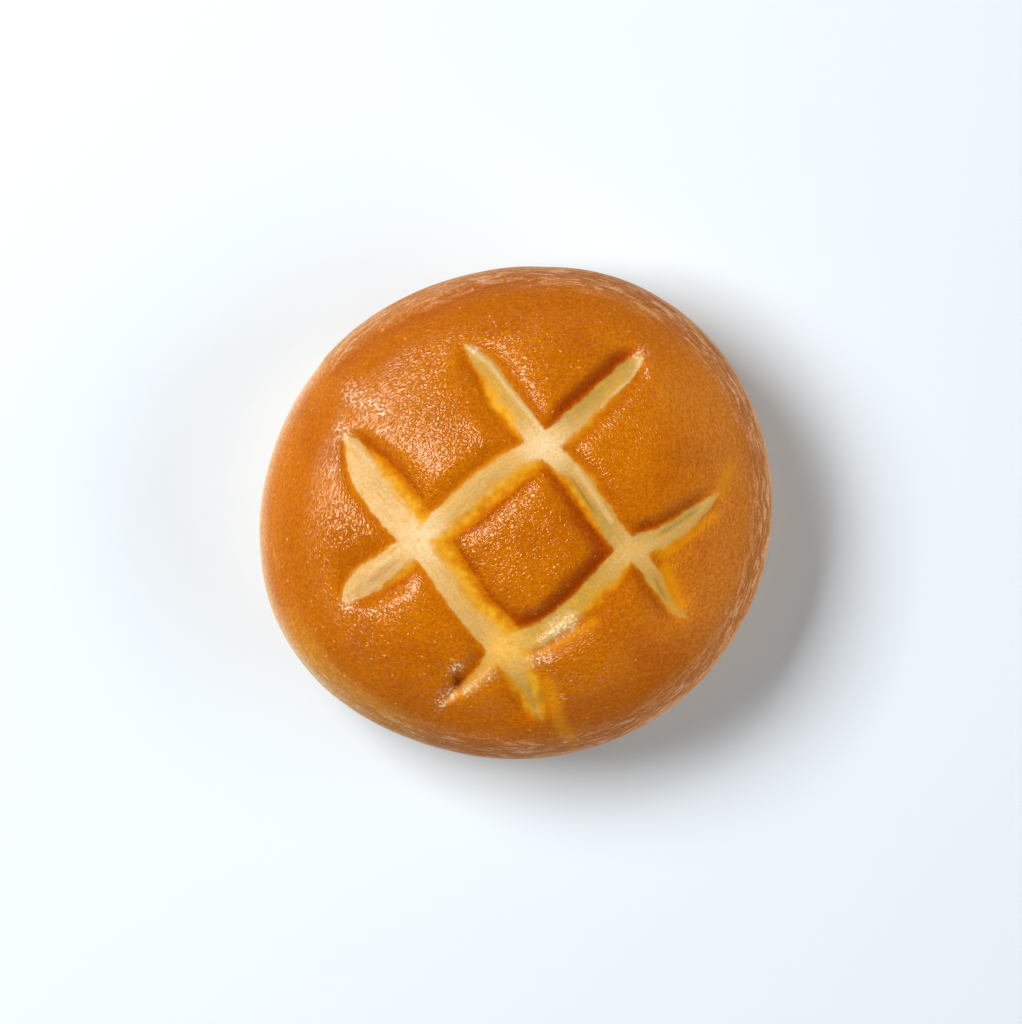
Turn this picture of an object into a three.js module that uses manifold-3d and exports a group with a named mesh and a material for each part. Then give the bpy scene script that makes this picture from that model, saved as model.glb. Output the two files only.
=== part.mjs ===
// A round, egg-washed milk bun with two pairs of crossing cuts in its crown.
// Millimetres, +Z up. The origin is on the flat base, under the middle of the bun.
// The crust, the opened cuts and the crumb they show are one baked solid.

import Module from 'manifold-3d';
import * as THREE from 'three';
import { mergeVertices } from 'three/addons/utils/BufferGeometryUtils.js';

// Body: a dome over a shallower, fuller underside that is flat where it stood on the tray.
const MEAN_RADIUS = 53.8;
const HEIGHT = 46;
const WIDEST_AT = 18;
const DOME_POWER = 2.15;
const UNDERSIDE_DEPTH = 22.5;
const UNDERSIDE_POWER = 2.7;

// Waves in the outline seen from above: how many go round, how far they stand out,
// and the bearing of a crest in degrees from +X.
const OUTLINE_WAVES = [
  { count: 1, amplitude: 0.57, bearing: -21 },
  { count: 2, amplitude: 1.75, bearing: 24.5 },
  { count: 3, amplitude: 0.55, bearing: 66.7 },
  { count: 4, amplitude: 0.29, bearing: 41.8 },
  { count: 5, amplitude: 0.19, bearing: -6.2 },
];

// Cuts: stations along each one, as [x, y, half the opening, width of the wall on its left
// and on its right, how high the crust stands over it on its left and on its right, as shares].
// Two run from the upper left to the lower right, and two from the lower left to the upper right.
const CUTS = {
  outerFalling: [
    [-36.8, 17.3, 0.0, 1.3, 1.3, 0.5, 0.3],
    [-34.2, 13.7, 2.5, 1.6, 1.5, 0.9, 0.4],
    [-30.7, 7.2, 4.4, 2.8, 1.5, 1.0, 0.4],
    [-24.6, -0.4, 4.7, 3.2, 1.6, 1.0, 0.4],
    [-16.4, -10.6, 3.9, 3.8, 1.5, 1.0, 0.5],
    [-9.6, -20.4, 3.7, 4.2, 1.4, 1.0, 0.5],
    [-2.2, -28.6, 4.2, 2.8, 1.7, 0.9, 0.6],
    [2.6, -36.8, 2.8, 3.2, 2.4, 0.6, 0.8],
    [4.3, -41.1, 2.3, 3.0, 2.4, 0.5, 0.8],
    [6.6, -45.4, 0.0, 1.3, 1.3, 0.4, 0.5],
  ],
  innerFalling: [
    [-11.3, 36.4, 0.0, 1.1, 1.1, 0.4, 0.5],
    [-8.4, 33.4, 1.9, 1.4, 1.5, 0.6, 0.7],
    [-5.1, 29.5, 2.7, 1.5, 2.0, 0.7, 0.8],
    [-0.2, 22.0, 3.2, 1.7, 2.6, 0.8, 0.8],
    [6.4, 13.9, 2.9, 1.6, 1.6, 0.8, 0.8],
    [14.2, 6.4, 2.8, 1.9, 2.4, 0.7, 1.0],
    [21.5, -4.6, 2.9, 1.6, 1.8, 0.7, 1.1],
    [28.5, -11.9, 2.3, 1.7, 1.6, 0.7, 0.9],
    [33.8, -19.9, 1.6, 1.6, 1.5, 0.6, 0.7],
    [38.1, -23.3, 0.0, 1.1, 1.1, 0.4, 0.4],
  ],
  upperRising: [
    [-37.2, -19.4, 0.0, 1.1, 1.1, 0.3, 0.5],
    [-33.8, -15.8, 3.2, 1.7, 1.4, 0.4, 0.7],
    [-28.1, -11.8, 3.8, 1.9, 2.1, 0.4, 0.8],
    [-19.5, -5.3, 3.4, 1.6, 2.6, 0.6, 0.9],
    [-11.0, 2.0, 3.7, 1.8, 3.0, 0.7, 1.0],
    [-2.2, 9.4, 3.5, 1.9, 3.4, 0.7, 1.0],
    [6.4, 14.3, 3.0, 1.5, 2.1, 0.9, 0.8],
    [17.1, 23.6, 2.8, 1.4, 2.0, 1.1, 0.6],
    [24.8, 31.2, 2.1, 1.3, 1.4, 1.0, 0.5],
    [28.0, 33.4, 0.0, 1.1, 1.1, 0.5, 0.3],
  ],
  lowerRising: [
    [-16.2, -42.0, 0.0, 1.3, 1.3, 0.8, 0.4],
    [-11.9, -38.2, 0.9, 1.3, 1.3, 1.2, 0.5],
    [-7.0, -33.9, 1.7, 1.5, 1.6, 1.2, 0.6],
    [-2.1, -28.3, 2.9, 1.8, 2.1, 1.2, 0.8],
    [7.2, -24.9, 3.0, 1.5, 1.8, 1.3, 0.8],
    [15.4, -17.5, 2.7, 1.4, 2.3, 1.3, 0.8],
    [24.6, -8.1, 2.8, 1.5, 2.0, 1.1, 0.7],
    [31.9, -5.0, 2.8, 1.3, 2.1, 0.9, 0.5],
    [39.8, 0.9, 1.8, 1.2, 1.7, 0.8, 0.5],
    [44.9, 5.6, 0.0, 1.1, 1.1, 0.4, 0.4],
  ],
};
const STEPS_PER_STATION = 6;

// Relief of a cut: its depth, how far its walls lean back, the swell of the crumb in its
// floor, and how far the crust beside it rounds down towards it.
const CUT_DEPTH = 1.2;
const WALL_SPREAD = 2.2;
const FULL_DEPTH_HALF_WIDTH = 2.4;
const LEAST_HALF_WIDTH = 0.6;
const FLOOR_SWELL = 0.5;
const SHOULDER_DROP = 1.9;
const SHOULDER_REACH = 3.6;

// Ends of a cut: the share of the depth left there, how far in the shoulder is whole,
// and how much fuller than a point they are.
const TIP_DEPTH_SHARE = 0.12;
const TIP_RUN = 11;
const TIP_ROUNDING = 0.8;

// Where two cuts cross, their floor lifts.
const CROSSINGS = [
  { x: -19.6, y: -5.4 },
  { x: 6.5, y: 14.1 },
  { x: -2.1, y: -28.4 },
  { x: 24.7, y: -8.2 },
];
const CROSSING_LIFT = 0.5;
const CROSSING_REACH = 5;

// Small marks: a dimple, and places where the crust folds up into a lip beside a cut.
const DIMPLE = { x: -12, y: -36.1, radius: 1.8, depth: 1.2 };
const LIPS = [
  { from: [4.3, -28.2], to: [15.6, -20.2], width: 1.3, height: 0.9 },
  { from: [-11, -39.2], to: [-4.6, -33.4], width: 1.5, height: 0.9 },
  { from: [-31, -13.4], to: [-26.8, -10.4], width: 0.9, height: 0.5 },
];

// Slow unevenness of the crown: waves of different length and bearing.
const SWELLS = [
  { length: 61, bearing: 20, amplitude: 0.5 },
  { length: 43, bearing: 95, amplitude: 0.4 },
  { length: 31, bearing: 150, amplitude: 0.25 },
];

// Grid: the crown is a square patch turned to lie along the cuts, with its lines drawn
// together over them, and four side strips run from its edge down under the base.
const CUT_BEARING = 38;
const PATCH_EDGE_ANGLE = 66;
const UNDERSIDE_END_ANGLE = 150;
const SIDE_ROWS = 10;
const STRAIGHT_SHARE = 0.74;
const BEND_POWER = 6;
const CUT_BAND = 6;
const ACROSS_FALLING = { middles: [-19.2, 14.3], cells: [8, 12, 8, 12, 9] };
const ACROSS_RISING = { middles: [-21.9, 8.0], cells: [8, 12, 7, 12, 10] };

const CRUST_COLOUR = 0xbd6a16;

const domeHeight = HEIGHT - WIDEST_AT;
const radians = THREE.MathUtils.degToRad;

function outlineRadius(bearing) {
  let radius = MEAN_RADIUS;
  for (const wave of OUTLINE_WAVES) {
    radius += wave.amplitude * Math.cos(wave.count * (bearing - radians(wave.bearing)));
  }
  return radius;
}

// The body's profile at an angle from its axis: 0 is the crown, 90 the widest ring.
// Share of the outline's radius, and height above the base.
function profile(angle) {
  const sine = Math.sin(angle);
  const cosine = Math.cos(angle);
  const power = cosine >= 0 ? DOME_POWER : UNDERSIDE_POWER;
  const reach = cosine >= 0 ? domeHeight : -UNDERSIDE_DEPTH;
  return {
    share: sine ** (2 / power),
    height: WIDEST_AT + reach * Math.abs(cosine) ** (2 / power),
  };
}

// A smooth line through a cut's stations, as a close row of them.
function throughStations(stations) {
  const first = stations[0].map((value, i) => 2 * value - stations[1][i]);
  const last = stations.at(-1).map((value, i) => 2 * value - stations.at(-2)[i]);
  const all = [first, ...stations, last];
  const line = [];
  for (let k = 1; k < all.length - 2; k += 1) {
    for (let step = 0; step < STEPS_PER_STATION; step += 1) {
      const t = step / STEPS_PER_STATION;
      line.push(all[k].map((b, i) => {
        const [a, c, d] = [all[k - 1][i], all[k + 1][i], all[k + 2][i]];
        const square = 2 * a - 5 * b + 4 * c - d;
        const cube = 3 * b - a - 3 * c + d;
        return 0.5 * (2 * b + (c - a) * t + square * t * t + cube * t ** 3);
      }));
    }
  }
  line.push(stations.at(-1));
  return line;
}

// The openings narrow to a point at their ends, and this rounds them off.
function rounded(half) {
  const width = Math.max(half, 0);
  return width + TIP_ROUNDING * Math.sqrt(width) * Math.exp(-width);
}

const cuts = Object.values(CUTS).map((stations) => {
  const line = throughStations(stations);
  let length = 0;
  for (let k = 1; k < line.length; k += 1) {
    length += Math.hypot(line[k][0] - line[k - 1][0], line[k][1] - line[k - 1][1]);
  }
  return { length, line: line.map(([x, y, half, ...rest]) => [x, y, rounded(half), ...rest]) };
});

// Where a point lies beside a line of stations: its distance, whether it is on the left,
// the values of the line at its foot, and how far along the line the foot is, from 0 to 1.
function beside(line, x, y) {
  let nearest = { distance: Infinity };
  for (let k = 0; k < line.length - 1; k += 1) {
    const [a, b] = [line[k], line[k + 1]];
    const along = [b[0] - a[0], b[1] - a[1]];
    const offset = [x - a[0], y - a[1]];
    const lengthSquared = along[0] ** 2 + along[1] ** 2;
    const dot = offset[0] * along[0] + offset[1] * along[1];
    const t = THREE.MathUtils.clamp(dot / lengthSquared, 0, 1);
    const distance = Math.hypot(offset[0] - t * along[0], offset[1] - t * along[1]);
    if (distance < nearest.distance) {
      const left = along[0] * offset[1] - along[1] * offset[0] >= 0;
      const values = a.map((value, i) => value + t * (b[i] - value));
      nearest = { distance, left, values, along: (k + t) / (line.length - 1) };
    }
  }
  return nearest;
}

function smooth(value) {
  return THREE.MathUtils.smoothstep(value, 0, 1);
}

// What a cut does at a point: how deep the point lies in it and how much of the shoulder it
// gets, both from 0 to 1, the swell of its floor, and how high the crust stands there.
function cutAt({ line, length }, x, y) {
  const { distance, left, values, along } = beside(line, x, y);
  const [, , half, leftWall, rightWall, leftBank, rightBank] = values;
  const wall = left ? leftWall : rightWall;
  const toTheLeft = left ? distance : -distance;
  const across = smooth(0.5 + toTheLeft / (2 * Math.max(half, LEAST_HALF_WIDTH)));
  const bank = THREE.MathUtils.lerp(rightBank, leftBank, across);
  const fullness = smooth(half / FULL_DEPTH_HALF_WIDTH);
  const open = smooth(1 - (distance - half) / (WALL_SPREAD * wall));
  const floor = open * THREE.MathUtils.lerp(TIP_DEPTH_SHARE, 1, fullness);
  const fromTip = Math.min(along, 1 - along) * length;
  const fromEdge = Math.max(distance - half, 0) / SHOULDER_REACH;
  const shoulder = smooth(fromTip / TIP_RUN) * Math.exp(-fromEdge);
  const crown = Math.max(1 - (distance / Math.max(half, 0.1)) ** 2, 0);
  return { floor, shoulder, bank, swell: fullness * crown ** 2 };
}

// Several cuts at a point join to one share that never passes 1, with their mean bank.
function joined(found, key) {
  let outside = 1;
  let weight = 1e-6;
  let banks = 0;
  for (const cut of found) {
    outside *= 1 - cut[key];
    weight += cut[key];
    banks += cut[key] * cut.bank;
  }
  return ((1 - outside) * banks) / weight;
}

function crossingAt(x, y) {
  let near = 0;
  for (const crossing of CROSSINGS) {
    const away = Math.hypot(x - crossing.x, y - crossing.y) / CROSSING_REACH;
    near += Math.exp(-(away ** 2));
  }
  return near;
}

function cutRelief(x, y) {
  const found = cuts.map((cut) => cutAt(cut, x, y));
  const floor = joined(found, 'floor');
  const swell = Math.max(...found.map((cut) => cut.swell));
  const crossing = crossingAt(x, y);
  const rise = FLOOR_SWELL * swell * (1 - crossing) + CROSSING_LIFT * crossing * floor;
  return rise - CUT_DEPTH * floor - SHOULDER_DROP * joined(found, 'shoulder');
}

function lipRelief(x, y) {
  let rise = 0;
  for (const lip of LIPS) {
    const { distance } = beside([lip.from, lip.to], x, y);
    rise += lip.height * Math.exp(-((distance / lip.width) ** 2));
  }
  return rise;
}

function dimpleRelief(x, y) {
  const away = Math.hypot(x - DIMPLE.x, y - DIMPLE.y) / DIMPLE.radius;
  return -DIMPLE.depth * Math.exp(-(away ** 2));
}

function swellRelief(x, y) {
  let rise = 0;
  for (const swell of SWELLS) {
    const bearing = radians(swell.bearing);
    const along = x * Math.cos(bearing) + y * Math.sin(bearing);
    rise += swell.amplitude * Math.sin((2 * Math.PI * along) / swell.length);
  }
  return rise;
}

// The relief dies away down the sides, so that it only shapes the crown.
function crownRelief(x, y, angle) {
  const share = THREE.MathUtils.smoothstep(Math.cos(angle), 0, Math.cos(radians(60)));
  return share * (cutRelief(x, y) + lipRelief(x, y) + dimpleRelief(x, y) + swellRelief(x, y));
}

// Grid lines between -1 and 1, drawn together in a band over each of two cuts.
function gridLines({ middles, cells }) {
  const patchRadius = MEAN_RADIUS * profile(radians(PATCH_EDGE_ANGLE)).share * STRAIGHT_SHARE;
  const bands = middles.flatMap((middle) => [middle - CUT_BAND, middle + CUT_BAND]);
  const stops = [-1, ...bands.map((place) => place / patchRadius), 1];
  const lines = [-1];
  cells.forEach((count, k) => {
    for (let i = 1; i <= count; i += 1) {
      lines.push(THREE.MathUtils.lerp(stops[k], stops[k + 1], i / count));
    }
  });
  return lines;
}

const acrossFalling = gridLines(ACROSS_FALLING);
const acrossRising = gridLines(ACROSS_RISING);

// A square's point goes to a disc: straight in the middle, bending to the round edge.
function squareToDisc(a, b) {
  const ring = Math.max(Math.abs(a), Math.abs(b));
  const bend = ring ** BEND_POWER;
  const length = Math.hypot(a, b);
  const scale = length > 0 ? (1 - bend) * STRAIGHT_SHARE + (bend * ring) / length : 0;
  const turn = radians(CUT_BEARING);
  const [x, y] = [a * scale, b * scale];
  return [x * Math.cos(turn) - y * Math.sin(turn), x * Math.sin(turn) + y * Math.cos(turn)];
}

// A point of a box of side 2 goes to the bun: its top face is the crown's patch, its sides
// run down past the widest ring, and its bottom face closes the underside.
function boxToBun(point) {
  const column = Math.round(((point.x + 1) / 2) * (acrossFalling.length - 1));
  const row = Math.round(((point.y + 1) / 2) * (acrossRising.length - 1));
  const [u, v] = squareToDisc(acrossFalling[column], acrossRising[row]);
  const middle = Math.hypot(u, v);
  const bearing = Math.atan2(v, u);
  const edge = radians(PATCH_EDGE_ANGLE);
  const end = radians(UNDERSIDE_END_ANGLE);
  let angle = THREE.MathUtils.lerp(edge, end, (1 - point.z) / 2);
  if (point.z === 1) {
    angle = edge * middle;
  } else if (point.z === -1) {
    angle = Math.PI - (Math.PI - end) * middle;
  }
  const { share, height } = profile(angle);
  const radius = outlineRadius(bearing) * share;
  const [x, y] = [radius * Math.cos(bearing), radius * Math.sin(bearing)];
  return new THREE.Vector3(x, y, height + crownRelief(x, y, angle));
}

// The body as one closed mesh with shared corners.
function bodyGeometry() {
  const columns = acrossFalling.length - 1;
  const rows = acrossRising.length - 1;
  const box = new THREE.BoxGeometry(2, 2, 2, columns, rows, SIDE_ROWS);
  box.deleteAttribute('normal');
  box.deleteAttribute('uv');
  const merged = mergeVertices(box);
  const places = merged.getAttribute('position');
  for (let i = 0; i < places.count; i += 1) {
    const place = boxToBun(new THREE.Vector3().fromBufferAttribute(places, i));
    places.setXYZ(i, place.x, place.y, place.z);
  }
  return merged;
}

function solidFrom(wasm, geometry) {
  return new wasm.Manifold(new wasm.Mesh({
    numProp: 3,
    vertProperties: new Float32Array(geometry.getAttribute('position').array),
    triVerts: new Uint32Array(geometry.getIndex().array),
  }));
}

function geometryFrom(solid) {
  const mesh = solid.getMesh();
  const geometry = new THREE.BufferGeometry();
  geometry.setAttribute('position', new THREE.BufferAttribute(mesh.vertProperties, 3));
  geometry.setIndex(new THREE.BufferAttribute(mesh.triVerts, 1));
  return geometry;
}

// Everything below the tray's surface.
function belowTray() {
  const width = 4 * MEAN_RADIUS;
  const slab = new THREE.BoxGeometry(width, width, HEIGHT);
  slab.translate(0, 0, -HEIGHT / 2);
  slab.deleteAttribute('normal');
  slab.deleteAttribute('uv');
  return mergeVertices(slab);
}

// The middle of the bun's outline goes over the origin.
function centre(geometry) {
  geometry.computeBoundingBox();
  const middle = geometry.boundingBox.getCenter(new THREE.Vector3());
  geometry.translate(-middle.x, -middle.y, 0);
}

const wasm = await Module();
wasm.setup();

const body = solidFrom(wasm, bodyGeometry()).subtract(solidFrom(wasm, belowTray()));
const bunGeometry = geometryFrom(body);
centre(bunGeometry);
bunGeometry.computeVertexNormals();

const crust = new THREE.MeshStandardMaterial({
  color: CRUST_COLOUR,
  roughness: 0.4,
  metalness: 0,
});
const bun = new THREE.Mesh(bunGeometry, crust);
bun.name = 'bun';

const group = new THREE.Group();
group.add(bun);

export default group;
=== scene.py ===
import math

import bpy
import numpy as np
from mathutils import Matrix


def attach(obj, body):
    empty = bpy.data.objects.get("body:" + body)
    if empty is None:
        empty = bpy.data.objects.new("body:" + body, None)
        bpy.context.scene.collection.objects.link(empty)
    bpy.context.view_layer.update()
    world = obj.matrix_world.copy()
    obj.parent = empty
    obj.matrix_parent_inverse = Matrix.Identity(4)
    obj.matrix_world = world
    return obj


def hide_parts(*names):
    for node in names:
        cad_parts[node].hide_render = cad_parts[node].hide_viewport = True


# A round, egg-washed bun with two pairs of crossing cuts baked open in its crown.
# The shape is worked out in millimetres and turned into metres where the mesh is made.

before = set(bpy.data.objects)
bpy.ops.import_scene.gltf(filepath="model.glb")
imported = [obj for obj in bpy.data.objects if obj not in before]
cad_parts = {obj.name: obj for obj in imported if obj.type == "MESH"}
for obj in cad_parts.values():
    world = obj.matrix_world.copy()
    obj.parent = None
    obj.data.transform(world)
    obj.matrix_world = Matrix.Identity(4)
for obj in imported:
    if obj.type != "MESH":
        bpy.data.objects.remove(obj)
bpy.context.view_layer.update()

METRES = 0.001

# ---------------------------------------------------------------- driving sizes, millimetres

MEAN_RADIUS = 53.8
HEIGHT = 46.0
WIDEST_AT = 18.0
DOME_POWER = 2.15
UNDERSIDE_DEPTH = 22.5
UNDERSIDE_POWER = 2.7
DOME_HEIGHT = HEIGHT - WIDEST_AT

# Waves in the outline: how many go round, how far they stand out, bearing of a crest in degrees.
OUTLINE_WAVES = [
    (1, 0.57, -21.0),
    (2, 1.75, 24.5),
    (3, 0.55, 66.7),
    (4, 0.29, 41.8),
    (5, 0.19, -6.2),
]

# Stations along each cut: x, y, half the opening, how wide its left and right walls are,
# and how high the crust stands over the floor on its left and on its right, as shares.
CUTS = {
    "outer_falling": [
        (-36.8, 17.3, 0.0, 1.3, 1.3, 0.5, 0.3),
        (-34.2, 13.7, 2.5, 1.6, 1.5, 0.9, 0.4),
        (-30.7, 7.2, 4.4, 2.8, 1.5, 1.0, 0.4),
        (-24.6, -0.4, 4.7, 3.2, 1.6, 1.0, 0.4),
        (-16.4, -10.6, 3.9, 3.8, 1.5, 1.0, 0.5),
        (-9.6, -20.4, 3.7, 4.2, 1.4, 1.0, 0.5),
        (-2.2, -28.6, 4.2, 2.8, 1.7, 0.9, 0.6),
        (2.6, -36.8, 2.8, 3.2, 2.4, 0.6, 0.8),
        (4.3, -41.1, 2.3, 3.0, 2.4, 0.5, 0.8),
        (6.6, -45.4, 0.0, 1.3, 1.3, 0.4, 0.5),
    ],
    "inner_falling": [
        (-11.3, 36.4, 0.0, 1.1, 1.1, 0.4, 0.5),
        (-8.4, 33.4, 1.9, 1.4, 1.5, 0.6, 0.7),
        (-5.1, 29.5, 2.7, 1.5, 2.0, 0.7, 0.8),
        (-0.2, 22.0, 3.2, 1.7, 2.6, 0.8, 0.8),
        (6.4, 13.9, 2.9, 1.6, 1.6, 0.8, 0.8),
        (14.2, 6.4, 2.8, 1.9, 2.4, 0.7, 1.0),
        (21.5, -4.6, 2.9, 1.6, 1.8, 0.7, 1.1),
        (28.5, -11.9, 2.3, 1.7, 1.6, 0.7, 0.9),
        (33.8, -19.9, 1.6, 1.6, 1.5, 0.6, 0.7),
        (38.1, -23.3, 0.0, 1.1, 1.1, 0.4, 0.4),
    ],
    "upper_rising": [
        (-37.2, -19.4, 0.0, 1.1, 1.1, 0.3, 0.5),
        (-33.8, -15.8, 3.2, 1.7, 1.4, 0.4, 0.7),
        (-28.1, -11.8, 3.8, 1.9, 2.1, 0.4, 0.8),
        (-19.5, -5.3, 3.4, 1.6, 2.6, 0.6, 0.9),
        (-11.0, 2.0, 3.7, 1.8, 3.0, 0.7, 1.0),
        (-2.2, 9.4, 3.5, 1.9, 3.4, 0.7, 1.0),
        (6.4, 14.3, 3.0, 1.5, 2.1, 0.9, 0.8),
        (17.1, 23.6, 2.8, 1.4, 2.0, 1.1, 0.6),
        (24.8, 31.2, 2.1, 1.3, 1.4, 1.0, 0.5),
        (28.0, 33.4, 0.0, 1.1, 1.1, 0.5, 0.3),
    ],
    "lower_rising": [
        (-16.2, -42.0, 0.0, 1.3, 1.3, 0.8, 0.4),
        (-11.9, -38.2, 0.9, 1.3, 1.3, 1.2, 0.5),
        (-7.0, -33.9, 1.7, 1.5, 1.6, 1.2, 0.6),
        (-2.1, -28.3, 2.9, 1.8, 2.1, 1.2, 0.8),
        (7.2, -24.9, 3.0, 1.5, 1.8, 1.3, 0.8),
        (15.4, -17.5, 2.7, 1.4, 2.3, 1.3, 0.8),
        (24.6, -8.1, 2.8, 1.5, 2.0, 1.1, 0.7),
        (31.9, -5.0, 2.8, 1.3, 2.1, 0.9, 0.5),
        (39.8, 0.9, 1.8, 1.2, 1.7, 0.8, 0.5),
        (44.9, 5.6, 0.0, 1.1, 1.1, 0.4, 0.4),
    ],
}
# The columns of a station after its place.
HALF, LEFT_WALL, RIGHT_WALL, LEFT_BANK, RIGHT_BANK = range(2, 7)
STEPS_PER_STATION = 6

# How pale the crumb is at each station, from golden to cream.
PALENESS = {
    "outer_falling": [0.5, 0.95, 1.0, 1.0, 0.75, 0.5, 0.35, 0.2, 0.1, 0.0],
    "inner_falling": [0.2, 0.15, 0.1, 0.25, 0.9, 0.3, 0.2, 0.3, 0.1, 0.1],
    "upper_rising": [0.5, 0.8, 0.8, 0.95, 0.55, 0.5, 0.9, 0.25, 0.45, 0.7],
    "lower_rising": [0.2, 0.2, 0.2, 0.4, 0.0, 0.0, 0.4, 0.5, 0.5, 0.3],
}

CUT_DEPTH = 1.2
WALL_SPREAD = 2.2
TIP_DEPTH_SHARE = 0.12
FULL_DEPTH_HALF_WIDTH = 2.4
FLOOR_SWELL = 0.5
SHOULDER_DROP = 1.9
SHOULDER_REACH = 3.6
TIP_RUN = 11.0
TIP_ROUNDING = 0.8
LEAST_HALF_WIDTH = 0.6
LEAST_CROWN_WIDTH = 0.1
LEAST_WEIGHT = 1e-6
# A cut's tip keeps the crust's colour where its opening is narrower than this.
TIP_HALF_WIDTH = 1.8
TIP_CLOSE = 0.4

# Where two cuts cross, the floor lifts: x, y, how pale and how golden the crumb is there.
CROSSINGS = [
    (-19.6, -5.4, 1.0, 0.0),
    (6.5, 14.1, 0.85, 0.0),
    (-2.1, -28.4, 0.1, 0.9),
    (24.7, -8.2, 0.3, 0.2),
]
CROSSING_LIFT = 0.5
CROSSING_REACH = 5.0
# Over this distance one cut's walls pass into the next one's where they cross.
CROSSING_BLEND = 0.8
# The window's bearing in degrees: below banks on its side the crumb of the floor is painted
# greyer, as painted shade, most where they are this much higher than the other bank and their
# wall is steep.
WINDOW_BEARING = 157
FULL_SHADE_TILT = 0.35
SHADED_WALL = 2.7
SHADED_WALL_FADE = 0.8
# How far apart the noise of one cut's floor is from the next one's.
CUT_NOISE_APART = 31.0

# Small marks: a dimple, and places where the crust folds up into a lip beside a cut.
DIMPLE = {"x": -12.0, "y": -36.1, "radius": 1.8, "depth": 0.8}
LIPS = [
    {"from": (4.3, -28.2), "to": (15.6, -20.2), "width": 1.3, "height": 0.5},
    {"from": (-11.0, -39.2), "to": (-4.6, -33.4), "width": 1.5, "height": 0.7},
    {"from": (-31.0, -13.4), "to": (-26.8, -10.4), "width": 0.9, "height": 0.5},
]
# Thin folds in the floors of the cuts, and crevices beside them: from, to, width, depth.
# The folds, the crevices and the dimple get painted shade, the darker the deeper a fold is, up
# to a full depth. This share of it is either end.
FULL_CREASE_DEPTH = 0.5
CREASE_END = 0.3
CREASES = [
    ((10.3, 9.2), (18.4, -1.6), 0.38, 0.5),
    ((2.8, -36.6), (4.9, -42.8), 0.7, 0.18),
    ((5.5, -37.2), (6.1, -41.8), 0.5, 0.2),
    ((29.4, -13.0), (32.6, -19.4), 0.42, 0.4),
    ((28.9, -5.8), (41.0, 1.9), 0.36, 0.4),
]
CREVICES = [
    ((-13.4, -33.8), (-11.5, -37.2), 0.9, 0.8),
]
# Raised folds of crumb inside the cuts: the points they run through, width and height.
RIDGES = [
    ([(-36.6, 16.1), (-33.2, 13.6), (-29.7, 9.6)], 0.35, 0.25),
    ([(-9.2, 34.5), (-5.6, 32.0), (-2.1, 27.4), (1.3, 23.2), (5.4, 18.6)], 0.55, 0.35),
    ([(26.8, 32.7), (25.4, 28.9), (21.6, 25.7), (18.6, 22.5)], 0.4, 0.3),
    ([(-11.3, -0.2), (-4.5, 4.6), (0.2, 7.5)], 0.4, 0.25),
    ([(13.0, 9.6), (17.2, 3.4), (20.6, -1.9)], 0.45, 0.3),
    ([(-29.6, -11.3), (-26.6, -9.6)], 0.45, 0.35),
    ([(4.1, -38.4), (4.8, -40.6), (5.3, -42.4)], 0.4, 0.3),
]
# Flaked streaks of pale crumb with painted glints on them: from, to, half the width, strength.
FLAKES_AND_GLINTS = [
    ((-36.9, 18.2), (-36.2, 16.8), 1.3, 0.9),
    ((-36.0, -19.6), (-35.0, -18.6), 1.2, 0.9),
    ((3.6, -31.4), (6.6, -30.2), 1.3, 0.9),
    ((5.8, -27.2), (12.6, -22.8), 1.0, 0.8),
    ((8.6, -25.2), (11.6, -23.3), 1.9, 0.9),
    ((-10.4, -38.0), (-8.4, -36.6), 1.0, 0.8),
    ((-6.8, -35.5), (-5.2, -34.4), 1.1, 0.8),
    ((-13.2, -33.4), (-11.9, -32.6), 0.8, 0.9),
    ((-16.0, -40.6), (-13.6, -38.0), 1.2, 0.9),
    ((26.2, 33.2), (27.0, 34.0), 1.0, 0.8),
    ((-9.2, 35.0), (-8.4, 34.2), 1.1, 0.8),
    # This last streak is a painted highlight where the window's reflection on the crown is
    # brightest.
    ((-34.2, 25.2), (-29.2, 22.4), 2.6, 0.7),
]
# Golden glows of the crust beside the cuts' ends: from, to, half the width, strength.
GLOWS = [
    ((32.0, -12.2), (34.9, -19.6), 1.5, 0.95),
    ((31.5, -9.2), (42.4, -0.6), 1.1, 0.6),
    ((5.6, -30.0), (16.8, -23.2), 1.0, 0.9),
    ((43.6, 4.2), (45.9, 9.6), 1.3, 0.6),
    ((7.0, -36.5), (9.6, -45.0), 1.5, 0.8),
    ((9.6, -45.0), (12.0, -48.2), 1.4, 0.5),
    ((-11.5, -38.6), (-4.4, -33.4), 1.6, 0.7),
]
# Shoulders the egg wash missed, which stay matte: from, to, half the width, strength.
UNGLAZED = [
    ((8.5, -27.8), (17.0, -22.4), 3.2, 1.0),
    ((17.0, -22.4), (25.5, -15.4), 3.4, 1.0),
]
# A fold in the skin inside the outline, behind which the rim stands out pale and matte.
RIM_FOLD = [
    (-41.4, 28.4), (-38.0, 31.4), (-33.0, 35.4), (-26.6, 38.9), (-18.9, 43.2), (-12.2, 46.0),
    (-7.2, 47.5), (-2.0, 48.7), (3.6, 49.6), (8.0, 50.1),
]
RIM_FOLD_WIDTH = 1.1
RIM_FOLD_STEP = 1.76
RIM_FOLD_SHADE = 3.4
RIM_FOLD_DEPTH = 0.5
RIM_FOLD_RISE = 0.35
RIM_FOLD_WAVER = {"size": 7.0, "reach": 1.1, "seed": 61}
RIM_FOLD_ENDS = (0.12, 0.25)
# Stretches where the crust keeps its colour right up to the cut: x, y, radius.
UNBROWNED = [(-9.6, -36.0, 6.5)]

# Slow unevenness of the crown: length of the wave, bearing in degrees, amplitude.
SWELLS = [(61.0, 20.0, 0.5), (43.0, 95.0, 0.4), (31.0, 150.0, 0.25)]

# The profile angle below which the cuts, streaks and rim fold leave no mark, and how
# gently they end there.
MARKS_END = math.radians(100)
MARKS_FADE = math.radians(10)
RIM_FOLD_FADE = math.radians(12)
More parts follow.
